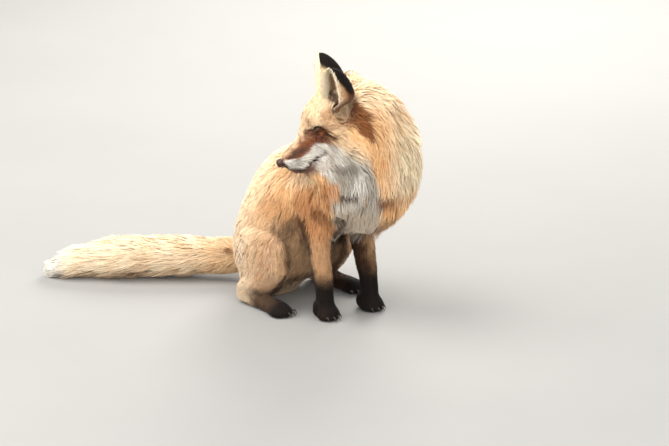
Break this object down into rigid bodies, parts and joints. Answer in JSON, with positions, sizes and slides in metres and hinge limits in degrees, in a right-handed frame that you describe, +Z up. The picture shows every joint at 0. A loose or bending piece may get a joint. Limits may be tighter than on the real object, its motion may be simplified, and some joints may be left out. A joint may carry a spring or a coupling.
{
  "type": "fox",
  "caption": "Life-size still model of a red fox sitting on its haunches with the tail out behind and the head turned back over its right shoulder.",
  "frame": {"origin": "on the floor, in the middle of the flat under the rump", "axes": "+X the way the chest faces, +Y the fox's left, +Z up; the nose points to -X and -Y"},
  "size_m": [0.7103, 0.4092, 0.5117],
  "materials": {
    "coat_body": "golden orange guard hair, matt",
    "coat_ruff": "pale golden ruff, matt",
    "coat_head": "short fur, matt",
    "coat_white": "short grey-white fur, matt",
    "nose_skin": "moist grained skin, satin",
    "eyes": "wet, glossy",
    "ear_coat": "very short black fur, matt",
    "coat_foreleg": "short fur, matt",
    "coat_stocking": "short black fur, matt",
    "coat_haunch": "pale tan fur, matt",
    "coat_hind_foot": "short dark brown fur, matt",
    "coat_tail": "long pale tan brush, matt",
    "coat_tail_tip": "long white brush tip, matt"
  },
  "bodies": {
    "root": {"trunk": "coat_body", "neck": "coat_ruff", "head": "coat_head", "jaw": "coat_white", "nose": "nose_skin", "eye_left": "eyes", "eye_right": "eyes", "ear_left": "ear_coat", "ear_right": "ear_coat", "foreleg_left": "coat_foreleg", "foreleg_right": "coat_foreleg", "forepaw_left": "coat_stocking", "forepaw_right": "coat_stocking", "hind_leg_left": "coat_haunch", "hind_leg_right": "coat_haunch", "hind_foot_left": "coat_hind_foot", "hind_foot_right": "coat_hind_foot", "tail": "coat_tail", "tail_tip": "coat_tail_tip"}
  },
  "joints": []
}
